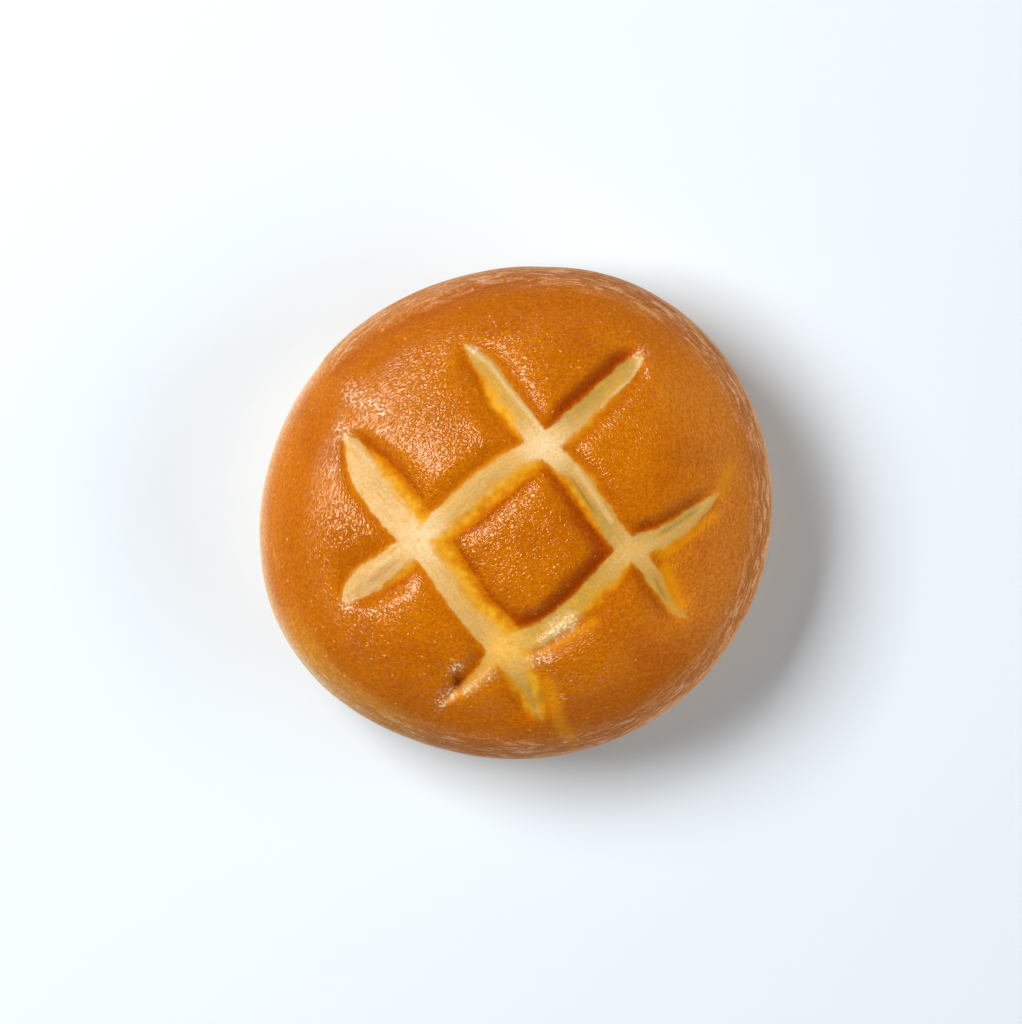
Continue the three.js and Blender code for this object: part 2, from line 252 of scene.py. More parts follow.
# The range that is kept of how far inside an opening a place is, in widths of its wall,
# and of how far outside an edge, in millimetres.
INWARD_RANGE = (-4, 4)
EDGE_RANGE = (-6, 20)

# ---------------------------------------------------------------- noise

LAYER_SHIFT = 17.3


def hashed(cells, seed):
    """A number from 0 to 1 for each lattice cell, the same on every run."""
    prime = np.array([73856093, 19349663, 83492791], dtype=np.int64)
    mixed = (cells.astype(np.int64) * prime).sum(axis=-1) + seed * 2654435761
    mixed = (mixed ^ (mixed >> 13)) & 0xFFFFFFFF
    mixed = (mixed * 1274126177) & 0xFFFFFFFF
    mixed = (mixed ^ (mixed >> 16)) & 0xFFFFFF
    return mixed / float(0xFFFFFF)


def noise(points, seed):
    """Smooth value noise from -1 to 1 at each row of points."""
    base = np.floor(points)
    part = points - base
    part = part * part * part * (part * (part * 6 - 15) + 10)
    total = np.zeros(len(points))
    for corner in range(8):
        step = np.array([corner & 1, (corner >> 1) & 1, (corner >> 2) & 1])
        weight = np.where(step, part, 1 - part).prod(axis=-1)
        total += weight * hashed(base + step, seed)
    return 2 * total - 1


def layered(points, seed, fall=0.5):
    """Two layers of noise, the second finer and fainter than the first."""
    finer = noise(points * 2 + LAYER_SHIFT, seed + 1)
    return (noise(points, seed) + fall * finer) / (1 + fall)


def smooth(value):
    """An even step from 0 to 1."""
    held = np.clip(value, 0.0, 1.0)
    return held * held * (3 - 2 * held)


def bell(distance, width):
    """A share that falls from 1 at no distance to about a third at the width."""
    return np.exp(-((distance / width) ** 2))


# ---------------------------------------------------------------- the body and its cuts


def outline_radius(bearing):
    radius = np.full_like(bearing, MEAN_RADIUS)
    for count, amplitude, crest in OUTLINE_WAVES:
        radius += amplitude * np.cos(count * (bearing - math.radians(crest)))
    return radius


def profile(angle):
    """Share of the outline's radius, and height, at an angle from the bun's axis."""
    upper = np.cos(angle) >= 0
    power = np.where(upper, DOME_POWER, UNDERSIDE_POWER)
    reach = np.where(upper, DOME_HEIGHT, -UNDERSIDE_DEPTH)
    share = np.sin(angle) ** (2 / power)
    return share, WIDEST_AT + reach * np.abs(np.cos(angle)) ** (2 / power)


def through_stations(stations):
    """A smooth line through a cut's stations, as a close row of them."""
    rows = np.array(stations, dtype=float)
    rows = np.vstack([2 * rows[0] - rows[1], rows, 2 * rows[-1] - rows[-2]])
    t = (np.arange(STEPS_PER_STATION) / STEPS_PER_STATION)[:, None]
    line = []
    for a, b, c, d in zip(rows, rows[1:], rows[2:], rows[3:]):
        square = 2 * a - 5 * b + 4 * c - d
        cube = 3 * b - a - 3 * c + d
        line.append(0.5 * (2 * b + (c - a) * t + square * t**2 + cube * t**3))
    line.append(rows[-2:-1])
    line = np.vstack(line)
    half = np.maximum(line[:, HALF], 0)
    line[:, HALF] = half + TIP_ROUNDING * np.sqrt(half) * np.exp(-half)
    return line


def beside(line, x, y):
    """Distance of each point from a line, which side it is on, the line's values at its
    foot, and how far along the line the foot is, from 0 to 1."""
    nearest = np.full(x.shape, np.inf)
    left = np.zeros(x.shape, dtype=bool)
    values = np.zeros(x.shape + (line.shape[1],))
    along = np.zeros(x.shape)
    for k in range(len(line) - 1):
        a, b = line[k], line[k + 1]
        run_x, run_y = b[0] - a[0], b[1] - a[1]
        t = ((x - a[0]) * run_x + (y - a[1]) * run_y) / (run_x**2 + run_y**2)
        t = np.clip(t, 0, 1)
        off_x = x - a[0] - t * run_x
        off_y = y - a[1] - t * run_y
        distance = np.hypot(off_x, off_y)
        closer = distance < nearest
        nearest = np.where(closer, distance, nearest)
        left = np.where(closer, run_x * off_y - run_y * off_x >= 0, left)
        along = np.where(closer, (k + t) / (len(line) - 1), along)
        values = np.where(closer[..., None], a + t[..., None] * (b - a), values)
    return nearest, left, values, along


def distance_from(points, x, y):
    """Distance of each point from the line through a few others."""
    return beside(np.array(points), x, y)[0]


def painted_floor_shade(line, values, side):
    """How much painted shade the crumb of a cut's floor gets below the bank on the window's
    side.
    """
    tilt = values[..., LEFT_BANK] - values[..., RIGHT_BANK]
    half = np.maximum(values[..., HALF], LEAST_HALF_WIDTH)
    under = smooth(0.5 + np.sign(tilt) * side / (2 * half))
    heading = line[-1] - line[0]
    window = math.radians(WINDOW_BEARING)
    to_window = np.sign(heading[0] * math.sin(window) - heading[1] * math.cos(window))
    wall = np.where(tilt > 0, values[..., LEFT_WALL], values[..., RIGHT_WALL])
    steep = smooth((SHADED_WALL - wall) / SHADED_WALL_FADE)
    return under * np.clip(to_window * tilt / FULL_SHADE_TILT, 0, 1) * steep


def one_cut(order, name, x, y):
    """What one cut does at each point, by name."""
    line = through_stations(CUTS[name])
    distance, left, values, along = beside(line, x, y)
    half = values[..., HALF]
    wall = np.where(left, values[..., LEFT_WALL], values[..., RIGHT_WALL])
    side = np.where(left, 1.0, -1.0) * distance
    across = smooth(0.5 + side / (2 * np.maximum(half, LEAST_HALF_WIDTH)))
    tilt = values[..., LEFT_BANK] - values[..., RIGHT_BANK]
    length = np.hypot(*np.diff(line[:, :2], axis=0).T).sum()
    run = smooth(np.minimum(along, 1 - along) * length / TIP_RUN)
    gap = distance - half
    opened = smooth(1 - gap / (WALL_SPREAD * wall))
    fullness = smooth(half / FULL_DEPTH_HALF_WIDTH)
    crown = np.maximum(1 - (distance / np.maximum(half, LEAST_CROWN_WIDTH)) ** 2, 0)
    stops = np.linspace(0, 1, len(CUTS[name]))
    track = [along * length, side, np.full(x.shape, CUT_NOISE_APART * order)]
    return {
        "floor": opened * (TIP_DEPTH_SHARE + (1 - TIP_DEPTH_SHARE) * fullness),
        "shoulder": run * np.exp(-np.maximum(gap, 0) / SHOULDER_REACH),
        "swell": crown**2 * fullness,
        "inward": -gap / wall - TIP_CLOSE * (1 - smooth(half / TIP_HALF_WIDTH)),
        "gap": gap,
        "run": run,
        "wall": wall,
        "bank": values[..., RIGHT_BANK] + tilt * across,
        "pale": np.interp(along, stops, PALENESS[name]),
        "shade": painted_floor_shade(line, values, side),
        "grain": np.stack(track, axis=-1),
    }


def cut_fields(x, y):
    """What the cuts do together at each point: how deep it lies in one and how much it
    lies on a shoulder, both times the bank's height; the swell of the floor; how far
    inside an opening it is, in widths of its wall; how far outside the nearest edge; how
    far from that cut's tips; and the wall, bank, paleness, shade and grain there."""
    each = [one_cut(order, name, x, y) for order, name in enumerate(CUTS)]
    cuts = {name: np.stack([cut[name] for cut in each]) for name in each[0]}
    points = np.arange(len(x))
    nearest = cuts["gap"].argmin(axis=0)
    edge = cuts["gap"][nearest, points]
    together = {
        "edge": edge,
        "run": cuts["run"][nearest, points],
        "swell": cuts["swell"].max(axis=0),
    }
    for name in ("floor", "shoulder"):
        share = cuts[name]
        bank = (share * cuts["bank"]).sum(axis=0) / (share.sum(axis=0) + LEAST_WEIGHT)
        together[name] = (1 - (1 - share).prod(axis=0)) * bank
    deepest = cuts["inward"].argmax(axis=0)
    for name in ("inward", "pale", "shade", "grain"):
        together[name] = cuts[name][deepest, points]
    nearness = np.exp((edge - cuts["gap"]) / CROSSING_BLEND)
    nearness /= nearness.sum(axis=0)
    for name in ("wall", "bank"):
        together[name] = (nearness * cuts[name]).sum(axis=0)
    return together


def crossing_fields(x, y):
    """How near a point is to a crossing, and how pale and how golden that makes it."""
    shares = np.zeros((3,) + x.shape)
    for cross_x, cross_y, pale, golden in CROSSINGS:
        near = bell(np.hypot(x - cross_x, y - cross_y), CROSSING_REACH)
        shares += np.outer((1.0, pale, golden), near)
    return shares


def fold_fields(folds, x, y):
    """Depth of thin folds, and how strongly a point lies in one."""
    depth = np.zeros(x.shape)
    strength = np.zeros(x.shape)
    for start, end, width, deep in folds:
        distance, _, _, along = beside(np.array([start, end]), x, y)
        ends = smooth(along / CREASE_END) * smooth((1 - along) / CREASE_END)
        here = ends * bell(distance, width)
        depth += deep * here
        strength = np.maximum(strength, here * min(deep / FULL_CREASE_DEPTH, 1.0))
    return depth, strength


def ridge_fields(x, y):
    """Height of the raised folds, and how strongly a point lies on one."""
    height = np.zeros(x.shape)
    strength = np.zeros(x.shape)
    for points, width, high in RIDGES:
        near = bell(distance_from(points, x, y), width)
        height = np.maximum(height, high * near)
        strength = np.maximum(strength, near)
    return height, strength


def streak_field(streaks, x, y):
    """How strongly a point lies in one of the streaks."""
    strength = np.zeros(x.shape)
    for start, end, width, share in streaks:
        near = bell(distance_from([start, end], x, y), width)
        strength = np.maximum(strength, share * near)
    return strength


def rim_fold_fields(x, y, angle):
    """How strongly a point lies in the rim's fold, how far behind it, and how near in
    front of it."""
    flat = np.stack([x, y, np.zeros(x.shape)], axis=-1) / RIM_FOLD_WAVER["size"]
    waver = RIM_FOLD_WAVER["reach"] * layered(flat, RIM_FOLD_WAVER["seed"])
    distance, left, _, along = beside(np.array(RIM_FOLD), x + waver, y - waver)
    first_end, last_end = RIM_FOLD_ENDS
    ends = smooth(along / first_end) * smooth((1 - along) / last_end)
    ends *= smooth((MARKS_END - angle) / RIM_FOLD_FADE)
    behind = np.where(left, smooth(distance / RIM_FOLD_STEP), 0.0)
    before = np.where(left, 0.0, bell(distance, RIM_FOLD_SHADE))
    return ends * bell(distance, RIM_FOLD_WIDTH), ends * behind, ends * before


def unbrowned_field(x, y):
    """How much the crust keeps its colour up to the cut."""
    strength = np.zeros(x.shape)
    for spot_x, spot_y, radius in UNBROWNED:
        away = np.hypot(x - spot_x, y - spot_y) / radius
        strength = np.maximum(strength, np.exp(-(away**4)))
    return strength


def lip_field(x, y):
    """Height of the lips."""
    rise = np.zeros(x.shape)
    for lip in LIPS:
        distance = distance_from([lip["from"], lip["to"]], x, y)
        rise += lip["height"] * bell(distance, lip["width"])
    return rise


def dimple_field(x, y):
    """How strongly a point lies in the dimple."""
    return bell(np.hypot(x - DIMPLE["x"], y - DIMPLE["y"]), DIMPLE["radius"])


def swell_field(x, y):
    """Height of the crown's slow unevenness."""
    rise = np.zeros(x.shape)
    for length, crest, amplitude in SWELLS:
        bearing = math.radians(crest)
        along = x * math.cos(bearing) + y * math.sin(bearing)
        rise += amplitude * np.sin(2 * np.pi * along / length)
    return rise


# ---------------------------------------------------------------- the fine mesh

PATCH_CELLS = 222
RIM_ROWS = 30
LOWER_ROWS = 18
BASE_RINGS = 5
PATCH_EDGE_ANGLE = math.radians(66)
RIM_END_ANGLE = math.radians(92)
PATCH_TURN = math.radians(38)


def square_to_disc(a, b):
    """A square's point to a disc, with even cells."""
    u = a * np.sqrt(1 - b * b / 2)
    v = b * np.sqrt(1 - a * a / 2)
    turn_cos, turn_sin = math.cos(PATCH_TURN), math.sin(PATCH_TURN)
    return u * turn_cos - v * turn_sin, u * turn_sin + v * turn_cos


def base_angle():
    """The profile's angle where the underside reaches the tray."""
    share = WIDEST_AT / UNDERSIDE_DEPTH
    return math.pi - math.acos(share ** (UNDERSIDE_POWER / 2))


def band(above, below):
    """The faces between two rings of vertices."""
    return np.stack([above, below, np.roll(below, -1), np.roll(above, -1)], axis=-1)


def grid_points():
    """Bearing and profile angle of every vertex, the faces, and the lowest ring."""
    n = PATCH_CELLS
    line = np.linspace(-1, 1, n + 1)
    u, v = square_to_disc(*np.meshgrid(line, line, indexing="xy"))
    bearing = np.arctan2(v, u).ravel()
    angle = (PATCH_EDGE_ANGLE * np.hypot(u, v)).ravel()
    index = np.arange((n + 1) ** 2).reshape(n + 1, n + 1)
    low_left, low_right = index[:-1, :-1], index[:-1, 1:]
    high_left, high_right = index[1:, :-1], index[1:, 1:]
    quads = np.stack([low_left, low_right, high_right, high_left], axis=-1).reshape(-1, 4)

    ring = np.concatenate([index[0, :-1], index[:-1, -1], index[-1, :0:-1], index[:0:-1, 0]])
    bearings, angles, faces = [bearing], [angle], [quads]
    above = ring
    count = len(bearing)
    rim_levels = np.linspace(PATCH_EDGE_ANGLE, RIM_END_ANGLE, RIM_ROWS + 1)[1:]
    lower_levels = np.linspace(RIM_END_ANGLE, base_angle(), LOWER_ROWS + 1)[1:]
    for level in np.concatenate([rim_levels, lower_levels]):
        below = count + np.arange(len(ring))
        count += len(ring)
        bearings.append(bearing[ring])
        angles.append(np.full(len(ring), level))
        faces.append(band(above, below))
        above = below
    return np.concatenate(bearings), np.concatenate(angles), np.vstack(faces), above


def make_base(vertices, rim):
    """Rings of the flat base inside its rim, and the faces that close it."""
    added, faces = [], []
    above = rim
    count = len(vertices)
    for ring in range(1, BASE_RINGS + 1):
        share = 1 - ring / (BASE_RINGS + 1)
        added.append(vertices[rim] * [share, share, 1])
        below = count + np.arange(len(rim))
        count += len(rim)
        faces.append(band(above, below))
        above = below
    added.append([[0, 0, vertices[rim][:, 2].mean()]])
    fans = [(int(p), count, int(q)) for p, q in zip(above, np.roll(above, -1))]
    return np.vstack(added), np.vstack(faces), fans


def arc_length(angle):
    """Distance over the bun's skin from the middle of its crown, for a mean section."""
    steps = np.linspace(0, base_angle(), 400)
    share, height = profile(steps)
    walked = np.hypot(np.diff(share * MEAN_RADIUS), np.diff(height))
    return np.interp(angle, steps, np.concatenate([[0], np.cumsum(walked)]))


# Fine relief of the skin: height in millimetres, the size of a feature round the bun and
# down its skin, the seed of the noise, and how faint its finer layer is.
LUMPS = {"height": 0.35, "around": 17.0, "down": 12.0, "seed": 11, "fall": 0.5}
CRINKLE = {"height": 0.13, "around": 3.4, "down": 1.7, "seed": 23, "fall": 0.6}
RIM_WRINKLE = {"height": 0.22, "around": 11.0, "down": 1.5, "seed": 37, "fall": 0.5}
# At the very top the crinkles lie every way.
TOP_CRINKLE = {"across": 2.3, "seed": 29, "fall": 0.6}
TOP_REACH = 30.0
TOP_FADE = 14.0
FLOOR_FIBRE = {"height": 0.16, "along": 5.0, "across": 0.8, "seed": 51, "fall": 0.6}
# Noise that runs round the bun has its stated size on a ring of this radius.
SKIN_RING = 35.0
# Crinkles start this far inside a cut's edge, and are whole after this distance.
CRINKLE_START = 0.5
CRINKLE_FADE = 2.0
# Profile angles: where crinkles and cuts end, where the rim's wrinkles are, and how far
# above the base the skin's relief fades.
CRINKLE_END = math.radians(84)
CRINKLE_END_FADE = math.radians(25)
CUT_RELIEF_END = math.radians(60)
RIM_WRINKLE_AT = math.radians(83)
RIM_WRINKLE_SPREAD = math.radians(11)
BASE_FADE = math.radians(6)


def skin_noise(bearing, arc, kind):
    """Noise that runs round the bun and down its skin without a seam."""
    ring = SKIN_RING / kind["around"]
    points = [ring * np.cos(bearing), ring * np.sin(bearing), arc / kind["down"]]
    return layered(np.stack(points, axis=-1), kind["seed"], kind["fall"])


def skin_relief(x, y, bearing, angle, cuts):
    """How far the baked skin stands out from the smooth body. Its crinkles run round the
    bun, and lie every way at the very top."""
    arc = arc_length(angle)
    flat = np.stack([x, y, np.zeros(x.shape)], axis=-1) / TOP_CRINKLE["across"]
    top = smooth((TOP_REACH - arc) / TOP_FADE)
    crinkle = np.abs(skin_noise(bearing, arc, CRINKLE))
    crinkle += top * (np.abs(layered(flat, TOP_CRINKLE["seed"], TOP_CRINKLE["fall"])) - crinkle)
    crinkle *= smooth((cuts["edge"] + CRINKLE_START) / CRINKLE_FADE)
    crinkle *= smooth((CRINKLE_END - angle) / CRINKLE_END_FADE)
    wrinkle = np.abs(skin_noise(bearing, arc, RIM_WRINKLE))
    wrinkle *= bell(angle - RIM_WRINKLE_AT, RIM_WRINKLE_SPREAD)
    relief = LUMPS["height"] * skin_noise(bearing, arc, LUMPS)
    return relief + CRINKLE["height"] * crinkle + RIM_WRINKLE["height"] * wrinkle


def floor_relief(cuts):
    """Fibres that run along the floors of the cuts."""
    points = cuts["grain"] / [FLOOR_FIBRE["along"], FLOOR_FIBRE["across"], 1.0]
    fibres = layered(points, FLOOR_FIBRE["seed"], FLOOR_FIBRE["fall"])
    return FLOOR_FIBRE["height"] * fibres * smooth(cuts["inward"] + 0.5)


def bun_shape():
    """Vertices in millimetres, faces, and the named fields that the crust's colours use."""
    bearing, angle, quads, rim = grid_points()
    share, height = profile(angle)
    radius = outline_radius(bearing) * share
    x, y = radius * np.cos(bearing), radius * np.sin(bearing)
    cuts = cut_fields(x, y)
    cross, cross_pale, cross_golden = crossing_fields(x, y)
    creases, in_crease = fold_fields(CREASES, x, y)
    crevices, in_crevice = fold_fields(CREVICES, x, y)
    ridges, on_ridge = ridge_fields(x, y)
    in_fold, behind_fold, before_fold = rim_fold_fields(x, y, angle)
    lip, dimple = lip_field(x, y), dimple_field(x, y)

    relief = FLOOR_SWELL * cuts["swell"] * (1 - cross) + CROSSING_LIFT * cross * cuts["floor"]
    relief -= CUT_DEPTH * cuts["floor"] + SHOULDER_DROP * cuts["shoulder"]
    relief += ridges - creases - crevices + lip - DIMPLE["depth"] * dimple
    relief += swell_field(x, y) + floor_relief(cuts)
    relief *= smooth(np.cos(angle) / math.cos(CUT_RELIEF_END))

    # The skin's own relief stands out square to the body.
    flat_out = np.sin(angle)
    out = [flat_out * np.cos(bearing), flat_out * np.sin(bearing), np.cos(angle)]
    skin = skin_relief(x, y, bearing, angle, cuts)
    skin += RIM_FOLD_RISE * behind_fold - RIM_FOLD_DEPTH * in_fold
    skin *= smooth((base_angle() - angle) / BASE_FADE)
    places = np.stack([x, y, height + relief], axis=-1) + np.stack(out, axis=-1) * skin[:, None]

    base, base_quads, fans = make_base(places, rim)
    vertices = np.vstack([places, base])
    faces = [tuple(face) for face in np.vstack([quads, base_quads]).tolist()] + fans
    upper = smooth((MARKS_END - angle) / MARKS_FADE)
    fields = {
        "inward": np.where(upper > 0, np.clip(cuts["inward"], *INWARD_RANGE), INWARD_RANGE[0]),
        "edge": np.where(upper > 0, np.clip(cuts["edge"], *EDGE_RANGE), EDGE_RANGE[1]),
        "pale": cuts["pale"],
        "shade": cuts["shade"],
        "run": cuts["run"],
        "wall": cuts["wall"],
        "bank": cuts["bank"],
        "grain_along": cuts["grain"][:, 0],
        "grain_across": cuts["grain"][:, 1],
        "cross": cross_pale,
        "cross_golden": cross_golden,
        "crease_shade": in_crease,
        "crevice": in_crevice,
        "ridge": on_ridge,
        "flake_and_glint": upper * streak_field(FLAKES_AND_GLINTS, x, y),
        "glow": upper * streak_field(GLOWS, x, y),
        "unglazed": streak_field(UNGLAZED, x, y),
        "unbrowned": unbrowned_field(x, y),
        "in_fold": in_fold,
        "behind_fold": behind_fold,
        "before_fold": before_fold,
        "side": angle,
        "arc": arc_length(angle),
        "dimple": dimple,
        "lip": lip,
    }
    padded = {name: np.append(value, np.full(len(base), value[rim].mean()))
              for name, value in fields.items()}
    return vertices, faces, padded


def placed(name, data):
    """A new object in the scene that holds the data."""
    made = bpy.data.objects.new(name, data)
    bpy.context.scene.collection.objects.link(made)
    return made


def make_bun():
    """The bun's mesh with its fields, and how far it was shifted to stand at the middle."""
    vertices, faces, fields = bun_shape()
    middle = (vertices.min(axis=0) + vertices.max(axis=0)) / 2
    shift = np.array([middle[0], middle[1], 0.0])
    mesh = bpy.data.meshes.new("bun_crust")
    mesh.from_pydata(((vertices - shift) * METRES).tolist(), [], faces)
    mesh.polygons.foreach_set("use_smooth", np.ones(len(mesh.polygons), dtype=bool))
    for name, values in fields.items():
        layer = mesh.attributes.new(name, "FLOAT", "POINT")
        layer.data.foreach_set("value", values.astype(np.float32))
    mesh.update()
    return placed("bun_crust", mesh), shift


bun, shift = make_bun()

# ---------------------------------------------------------------- materials


class Graph:
    """Short calls for the node tree of a material or a world."""

    def __init__(self, holder):
        holder.use_nodes = True
        self.tree = holder.node_tree
        self.tree.nodes.clear()

    def node(self, kind, inputs=None, **settings):
        made = self.tree.nodes.new(kind)
        for key, value in settings.items():
            setattr(made, key, value)
        for key, value in (inputs or {}).items():
            if isinstance(value, bpy.types.NodeSocket):
                self.tree.links.new(value, made.inputs[key])
            else:
                made.inputs[key].default_value = value
        return made

    def math(self, operation, a, b=0.0):
        return self.node("ShaderNodeMath", {0: a, 1: b}, operation=operation).outputs[0]

    def times(self, first, *others):
        """The product of the values."""
        for other in others:
            first = self.math("MULTIPLY", first, other)
        return first

    def rest(self, share):
        """What a share leaves of the whole."""
        return self.math("SUBTRACT", 1.0, share)

    def ramp(self, value, low, high, to_low=0.0, to_high=1.0):
        """An even step from one value to another."""
        inputs = {"Value": value, "From Min": low, "From Max": high,
                  "To Min": to_low, "To Max": to_high}
        made = self.node("ShaderNodeMapRange", inputs, interpolation_type="SMOOTHSTEP")
        return made.outputs[0]

    def lay(self, tone, tint, *shares, blend="MIX"):
        """A tone with a tint laid over it, as far as the product of the shares."""
        made = self.node("ShaderNodeMix", {0: self.times(*shares), 6: tone, 7: tint},
                         data_type="RGBA", blend_type=blend)
        return made.outputs[2]

    def lay_all(self, tone, layers):
        """A tone with each layer's tint laid over it in turn, by the layer's shares."""
        for tint, *shares in layers:
            tone = self.lay(tone, tint, *shares)
        return tone

    def noise(self, where, scale, detail, roughness, distortion=0.0):
        inputs = {"Vector": where, "Scale": scale, "Detail": detail,
                  "Roughness": roughness, "Distortion": distortion}
        return self.node("ShaderNodeTexNoise", inputs).outputs["Fac"]


CRUST = (0.60, 0.168, 0.001, 1.0)
CRUST_DARK = (0.49, 0.118, 0.001, 1.0)
CRUST_EDGE = (0.37, 0.048, 0.001, 1.0)
CRUST_PALE = (0.76, 0.41, 0.14, 1.0)
# Painted shade in the crevice and the dimple.
PAINTED_HOLLOW_SHADE = (0.26, 0.030, 0.001, 1.0)
AMBER = (0.62, 0.190, 0.001, 1.0)
GOLD = (0.82, 0.40, 0.020, 1.0)
CRUMB_GOLD = (0.56, 0.30, 0.043, 1.0)
CRUMB = (0.81, 0.525, 0.24, 1.0)
CRUMB_PALE = (0.91, 0.70, 0.41, 1.0)
# Painted shade on the crumb below banks on the window's side.
CRUMB_PAINTED_SHADE = (0.40, 0.26, 0.06, 1.0)
CRUMB_WARM = (0.97, 0.55, 0.11, 1.0)
# Painted glint: the pale flecks that glitter on the flaked streaks.
PAINTED_FLAKE_GLINT = (0.96, 0.84, 0.66, 1.0)
GLOW = (0.74, 0.26, 0.002, 1.0)
RIM_FIBRE = (0.37, 0.088, 0.004, 1.0)
RIM_PALE = (0.80, 0.47, 0.20, 1.0)
# Painted glint: the colour of sparse specks of the window's light on the glazed crust.
PAINTED_GLINT = (0.98, 0.50, 0.12, 1.0)
# Painted light through the thin rim at the far left, on the window's side.
EDGE_PAINTED_LIGHT = (0.96, 0.66, 0.30, 1.0)
TRAY_BROWN = (0.48, 0.19, 0.035, 1.0)
# Painted shade in the thin folds of the cuts' floors.
PAINTED_CREASE_SHADE = (0.27, 0.175, 0.02, 1.0)
TAN = (0.55, 0.22, 0.05, 1.0)
LIP = (0.93, 0.57, 0.21, 1.0)
SHINE_TINT = (1.0, 0.65, 0.1, 1.0)

# Noises that lie every way: scale, detail, roughness and distortion.
NOISES = {
    "mottle": (55.0, 3.0, 0.55),
    "ragged": (520.0, 4.0, 0.65),
    "waver": (260.0, 4.0, 0.6),
    "patches": (380.0, 2.0, 0.5, 0.8),
    "pores": (1100.0, 3.0, 0.65),
    "grain": (1900.0, 2.0, 0.6),
    "speckle": (1500.0, 2.0, 0.6),
    "glints": (1000.0, 2.0, 0.5),
    "crumple": (1120.0, 1.0, 0.3, 0.4),
    "peel": (1800.0, 0.5, 0.3),
}
# Noises drawn out round the bun: the size of a feature round it and down its skin in
# millimetres, then detail, roughness and distortion.
SKIN_NOISES = {
    "fibre": (4.0, 1.3, 4.0, 0.65, 0.9),
    "folds": (1.5, 0.55, 1.0, 0.3, 0.4),
    "patchy": (6.0, 3.0, 2.0, 0.5, 0.5),
}
# Streaks in the floors of the cuts: how close they come along and across a cut, then
# scale, detail, roughness and distortion.
STREAK_ALONG = 0.3
STREAK_ACROSS = 1.3
STREAKS = (1.0, 3.0, 0.6, 0.6)

# Steps down the bun's side: profile angles in degrees, and the values there if they
# aren't 0 and 1.
DOWN_STEPS = {
    "unwashed": (30, 60),
    "ring": (46, 56, 0.0, 0.5),
    "ring_end": (71, 62),
    "washed": (46, 58, 1.0, 0.04),
    "warm": (60, 70, 0.0, 0.36),
    "warm_end": (88, 78),
    "fibres": (61, 74),
    "thin": (71, 86, 0.0, 0.6),
    "strip": (78, 90),
    "speckles": (80, 92, 1.0, 0.4),
    "tray": (100, 138, 0.0, 0.75),
}
# Steps round the bun, by how far its skin looks along an axis of the frame: the axis, the
# shares between which the step runs, and the values there if they aren't 0 and 1.
ROUND_STEPS = {
    "ring": ("x", 0.9, 0.6),
    "fibres_right": ("x", -0.55, -0.05, 0.15, 1.0),
    "fibres_front": ("y", -0.45, -0.75, 0.15, 0.9),
    "left": ("x", -0.3, -0.6),
    "front": ("y", -0.3, -0.6),
    "far_left": ("x", -0.55, -0.8),
}
# Places in metres between which the egg wash thins out toward +X, how far its end
# wavers, and how the bare crust is painted paler from -Y toward the middle, partly for the thin
# wash and partly as painted light on the less lit right side.
WASH_END = (0.010, 0.046)
WASH_WAVER = (-0.006, 0.006)
BARE_AND_LIT_PALENESS = (-0.036, -0.022, 0.03, 0.12)
# How far the rim's pale strip wavers, in radians.
STRIP_WAVER = (-0.05, 0.05)
# How far the crumb's edge wavers, in widths of the wall, and the widths in millimetres
# between which a wall turns from steep to broad.
DEPTH_WAVER = (-0.22, 0.22)
BROAD_WALL = (1.6, 2.6)
# Browning beside a cut, in millimetres: how ragged it is, where it starts past a steep
# and past a broad wall, and how far it reaches by the bank's height; and how dark it is
# by that height.
BROWN_RAGGED = (-0.45, 0.45)
BROWN_START = (-0.8, 1.3)
BROWN_REACH = (0.85, 1.1, 2.4, 4.4)
BROWN_SHARE = (0.6, 1.05, 0.15, 0.9)
# How the finest noises dim and light red, green and blue: steps over the noise.
# On the crust the lighter specks are partly grain and partly painted glints on its tiny bumps.
CRUST_SPECKLE = ((0.3, 0.7, 0.87, 1.12), (0.3, 0.7, 0.78, 1.18), (0.45, 0.68, 0.8, 2.4))
CRUMB_GRAIN = ((0.3, 0.7, 0.95, 1.05), (0.3, 0.7, 0.91, 1.08), (0.3, 0.7, 0.75, 1.20))

# The bump: heights of the folds and of the crumpled top, shares of these two and of the
# orange peel, and the whole depth in metres.
FOLDS_HEIGHT = 1.15
CRUMPLE_HEIGHT = 1.3
RELIEF_SHARES = (1.5, 0.3)
BUMP_DEPTH = 0.00025


